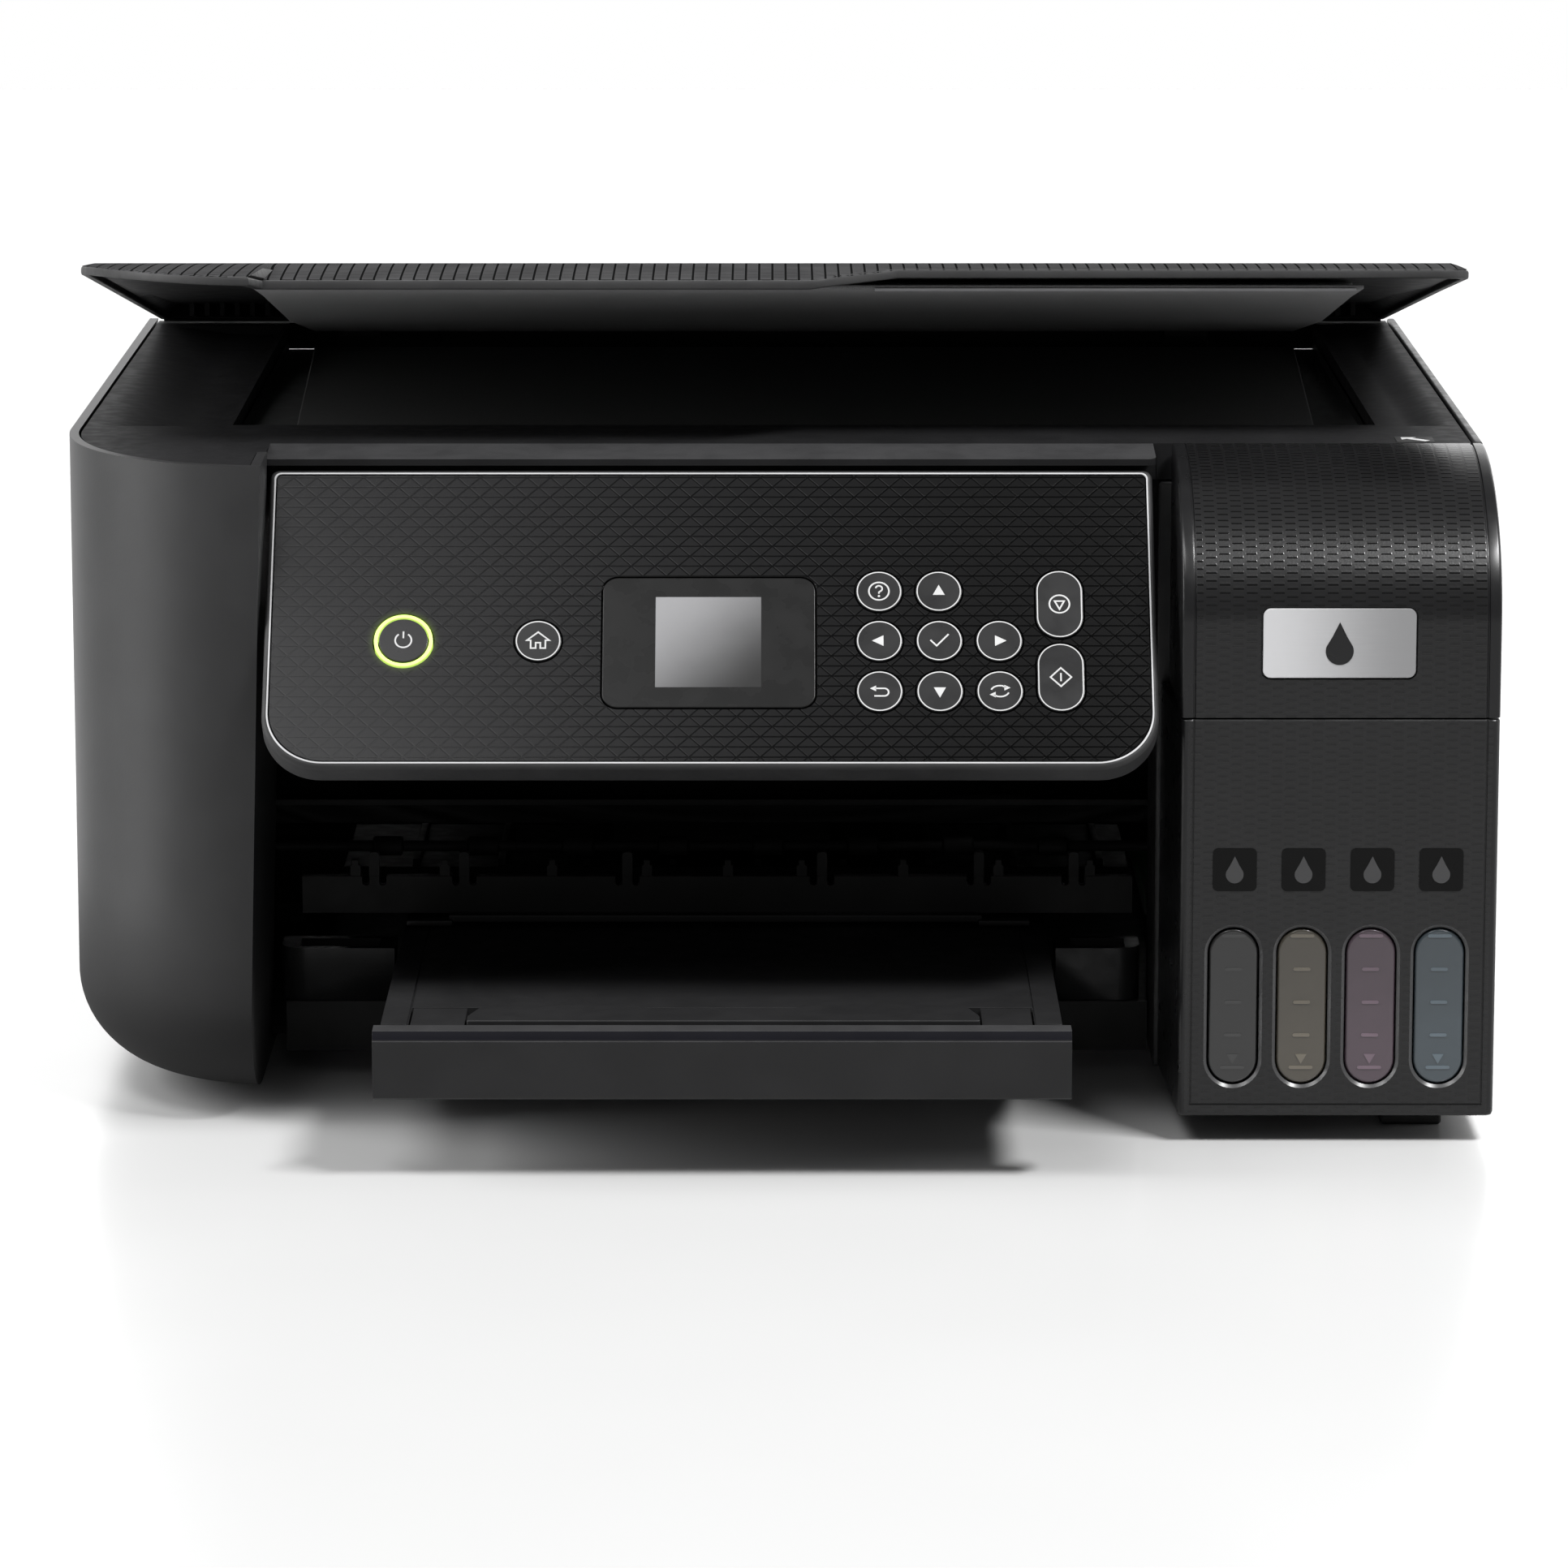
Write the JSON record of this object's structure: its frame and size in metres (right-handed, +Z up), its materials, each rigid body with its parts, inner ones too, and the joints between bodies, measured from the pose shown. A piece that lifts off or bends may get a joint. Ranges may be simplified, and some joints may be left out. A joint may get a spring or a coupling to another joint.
{
  "type": "inkjet printer",
  "caption": "Compact ink-tank printer with a flatbed scanner lid, tilting control panel, pull-out paper tray, moving print carriage and refillable tanks.",
  "frame": {"origin": "on the floor under the middle of the bounding box at rest", "axes": "+Z up, -Y to the front where the tray comes out, +X to the right seen from the front"},
  "size_m": [0.375, 0.387, 0.2242],
  "materials": {
    "case_plastic": "satin black moulded plastic with a fine leather-like grain",
    "tank_case_plastic": "black moulded plastic with rows of short grooves",
    "inner_plastic": "plain dark moulded plastic",
    "panel_gloss": "smooth black panel with a fine triangle lattice and light outlines",
    "light_guide": "translucent light guide, lit yellow-green",
    "badge_silver": "plain silver plate",
    "bed_glass": "clear flat glass over a dark bed",
    "pad_foam": "dark grey sheet",
    "frame_steel": "plated sheet steel",
    "soft_rubber": "black rubber",
    "circuit_board": "green circuit board",
    "ink_black": "smoked translucent tank",
    "ink_yellow": "smoked translucent tank",
    "ink_magenta": "smoked translucent tank",
    "ink_cyan": "smoked translucent tank"
  },
  "bodies": {
    "chassis": {"base_pan": "inner_plastic", "left_case": "case_plastic", "right_case": "case_plastic", "rear_cover": "case_plastic", "front_frame": "case_plastic", "tank_housing": "tank_case_plastic", "foot_front_left": "soft_rubber", "foot_front_right": "soft_rubber", "foot_rear_left": "soft_rubber", "foot_rear_right": "soft_rubber", "ink_tank_black": "ink_black", "ink_tank_yellow": "ink_yellow", "ink_tank_magenta": "ink_magenta", "ink_tank_cyan": "ink_cyan", "main_frame": "frame_steel", "drive_belt": "soft_rubber", "platen": "inner_plastic", "exit_comb": "inner_plastic", "power_supply": "inner_plastic", "main_board": "circuit_board"},
    "scanner": {"scanner_frame": "case_plastic", "scanner_tub": "inner_plastic", "platen_glass": "bed_glass"},
    "scan_bar": {"scan_bar": "inner_plastic"},
    "lid": {"lid": "case_plastic", "document_pad": "pad_foam"},
    "panel": {"panel_case": "case_plastic", "panel_face": "panel_gloss", "panel_screen": "panel_gloss", "power_ring": "light_guide"},
    "tank_cover": {"tank_cover": "tank_case_plastic", "tank_badge": "badge_silver"},
    "tray": {"output_tray": "inner_plastic"},
    "extension": {"tray_extension": "inner_plastic"},
    "stopper": {"paper_stopper": "inner_plastic"},
    "carriage": {"print_carriage": "inner_plastic"},
    "idler_pulley": {"idler_pulley": "frame_steel"},
    "drive_pulley": {"drive_pulley": "frame_steel"},
    "feed_roller": {"feed_roller": "frame_steel"},
    "exit_roller": {"exit_roller": "soft_rubber"},
    "pickup_roller": {"pickup_roller": "soft_rubber"},
    "paper_support": {"paper_support": "case_plastic"},
    "edge_guide_left": {"edge_guide_left": "case_plastic"},
    "edge_guide_right": {"edge_guide_right": "case_plastic"},
    "power_button": {"power_button": "panel_gloss"},
    "home_button": {"home_button": "panel_gloss"},
    "help_button": {"help_button": "panel_gloss"},
    "up_button": {"up_button": "panel_gloss"},
    "left_button": {"left_button": "panel_gloss"},
    "ok_button": {"ok_button": "panel_gloss"},
    "right_button": {"right_button": "panel_gloss"},
    "back_button": {"back_button": "panel_gloss"},
    "down_button": {"down_button": "panel_gloss"},
    "swap_button": {"swap_button": "panel_gloss"},
    "stop_button": {"stop_button": "panel_gloss"},
    "start_button": {"start_button": "panel_gloss"},
    "tank_cap_black": {"tank_cap_black": "soft_rubber"},
    "tank_cap_yellow": {"tank_cap_yellow": "soft_rubber"},
    "tank_cap_magenta": {"tank_cap_magenta": "soft_rubber"},
    "tank_cap_cyan": {"tank_cap_cyan": "soft_rubber"}
  },
  "joints": [
    {"name": "scanner_hinge", "type": "hinge", "parent": "chassis", "child": "scanner", "pos_m": [0, 0.1665, 0.158], "axis": [-1, 0, 0], "range_deg": [0, 20]},
    {"name": "lid_hinge", "type": "hinge", "parent": "scanner", "child": "lid", "pos_m": [0, 0.1665, 0.177], "axis": [-1, 0, 0], "range_deg": [-8.6, 55.4]},
    {"name": "scan_bar_slide", "type": "slide", "parent": "scanner", "child": "scan_bar", "axis": [1, 0, 0], "range_m": [0, 0.276]},
    {"name": "tank_cover_hinge", "type": "hinge", "parent": "chassis", "child": "tank_cover", "pos_m": [0, -0.0985, 0.174], "axis": [-1, 0, 0], "range_deg": [0, 65]},
    {"name": "panel_hinge", "type": "hinge", "parent": "chassis", "child": "panel", "pos_m": [0, -0.11245, 0.16407], "axis": [-1, 0, 0], "range_deg": [-18.3, 25]},
    {"name": "tray_slide", "type": "slide", "parent": "chassis", "child": "tray", "axis": [0, -1, 0], "range_m": [-0.117, 0]},
    {"name": "extension_slide", "type": "slide", "parent": "tray", "child": "extension", "axis": [0, -1, 0], "range_m": [0, 0.075]},
    {"name": "stopper_hinge", "type": "hinge", "parent": "extension", "child": "stopper", "pos_m": [0, -0.1818, 0.0372], "axis": [1, 0, 0], "range_deg": [0, 80]},
    {"name": "carriage_slide", "type": "slide", "parent": "chassis", "child": "carriage", "axis": [1, 0, 0], "range_m": [-0.118, 0.148]},
    {"name": "idler_pulley_spin", "type": "hinge", "parent": "chassis", "child": "idler_pulley", "pos_m": [-0.15, 0.0465, 0.092], "axis": [0, 1, 0], "range_deg": [-1130, 1420]},
    {"name": "drive_pulley_spin", "type": "hinge", "parent": "chassis", "child": "drive_pulley", "pos_m": [0.15, 0.0465, 0.092], "axis": [0, 1, 0], "range_deg": [-1130, 1420]},
    {"name": "feed_roller_spin", "type": "hinge", "parent": "chassis", "child": "feed_roller", "pos_m": [0, 0.0315, 0.046], "axis": [1, 0, 0], "continuous": true},
    {"name": "exit_roller_spin", "type": "hinge", "parent": "chassis", "child": "exit_roller", "pos_m": [0, -0.0465, 0.0575], "axis": [1, 0, 0], "continuous": true},
    {"name": "pickup_roller_spin", "type": "hinge", "parent": "chassis", "child": "pickup_roller", "pos_m": [0, 0.1465, 0.08], "axis": [1, 0, 0], "continuous": true},
    {"name": "paper_support_slide", "type": "slide", "parent": "chassis", "child": "paper_support", "axis": [0, 0.1736, 0.9848], "range_m": [0, 0.1]},
    {"name": "edge_guide_left_slide", "type": "slide", "parent": "chassis", "child": "edge_guide_left", "axis": [1, 0, 0], "range_m": [0, 0.05]},
    {"name": "edge_guide_right_slide", "type": "slide", "parent": "chassis", "child": "edge_guide_right", "axis": [1, 0, 0], "range_m": [-0.05, 0]},
    {"name": "tank_cap_black_hinge", "type": "hinge", "parent": "chassis", "child": "tank_cap_black", "pos_m": [0.1195, -0.1165, 0.1132], "axis": [-1, 0, 0], "range_deg": [0, 110]},
    {"name": "tank_cap_yellow_hinge", "type": "hinge", "parent": "chassis", "child": "tank_cap_yellow", "pos_m": [0.1373, -0.1165, 0.1132], "axis": [-1, 0, 0], "range_deg": [0, 110]},
    {"name": "tank_cap_magenta_hinge", "type": "hinge", "parent": "chassis", "child": "tank_cap_magenta", "pos_m": [0.1551, -0.1165, 0.1132], "axis": [-1, 0, 0], "range_deg": [0, 110]},
    {"name": "tank_cap_cyan_hinge", "type": "hinge", "parent": "chassis", "child": "tank_cap_cyan", "pos_m": [0.1729, -0.1165, 0.1132], "axis": [-1, 0, 0], "range_deg": [0, 110]},
    {"name": "power_press", "type": "slide", "parent": "panel", "child": "power_button", "axis": [0, 0.7848, -0.6198], "range_m": [0, 0.0007], "stiffness_N_per_m": 400},
    {"name": "home_press", "type": "slide", "parent": "panel", "child": "home_button", "axis": [0, 0.7848, -0.6198], "range_m": [0, 0.0007], "stiffness_N_per_m": 400},
    {"name": "help_press", "type": "slide", "parent": "panel", "child": "help_button", "axis": [0, 0.7848, -0.6198], "range_m": [0, 0.0007], "stiffness_N_per_m": 400},
    {"name": "up_press", "type": "slide", "parent": "panel", "child": "up_button", "axis": [0, 0.7848, -0.6198], "range_m": [0, 0.0007], "stiffness_N_per_m": 400},
    {"name": "left_press", "type": "slide", "parent": "panel", "child": "left_button", "axis": [0, 0.7848, -0.6198], "range_m": [0, 0.0007], "stiffness_N_per_m": 400},
    {"name": "ok_press", "type": "slide", "parent": "panel", "child": "ok_button", "axis": [0, 0.7848, -0.6198], "range_m": [0, 0.0007], "stiffness_N_per_m": 400},
    {"name": "right_press", "type": "slide", "parent": "panel", "child": "right_button", "axis": [0, 0.7848, -0.6198], "range_m": [0, 0.0007], "stiffness_N_per_m": 400},
    {"name": "back_press", "type": "slide", "parent": "panel", "child": "back_button", "axis": [0, 0.7848, -0.6198], "range_m": [0, 0.0007], "stiffness_N_per_m": 400},
    {"name": "down_press", "type": "slide", "parent": "panel", "child": "down_button", "axis": [0, 0.7848, -0.6198], "range_m": [0, 0.0007], "stiffness_N_per_m": 400},
    {"name": "swap_press", "type": "slide", "parent": "panel", "child": "swap_button", "axis": [0, 0.7848, -0.6198], "range_m": [0, 0.0007], "stiffness_N_per_m": 400},
    {"name": "stop_press", "type": "slide", "parent": "panel", "child": "stop_button", "axis": [0, 0.7848, -0.6198], "range_m": [0, 0.0007], "stiffness_N_per_m": 400},
    {"name": "start_press", "type": "slide", "parent": "panel", "child": "start_button", "axis": [0, 0.7848, -0.6198], "range_m": [0, 0.0007], "stiffness_N_per_m": 400}
  ],
  "couplings": [
    {"joint": "idler_pulley_spin", "follows": "carriage_slide", "rad_per_m": 166.67},
    {"joint": "drive_pulley_spin", "follows": "carriage_slide", "rad_per_m": 166.67},
    {"joint": "exit_roller_spin", "follows": "feed_roller_spin", "ratio": -1.0909},
    {"joint": "pickup_roller_spin", "follows": "feed_roller_spin", "ratio": -0.375},
    {"joint": "edge_guide_right_slide", "follows": "edge_guide_left_slide", "ratio": -1}
  ]
}
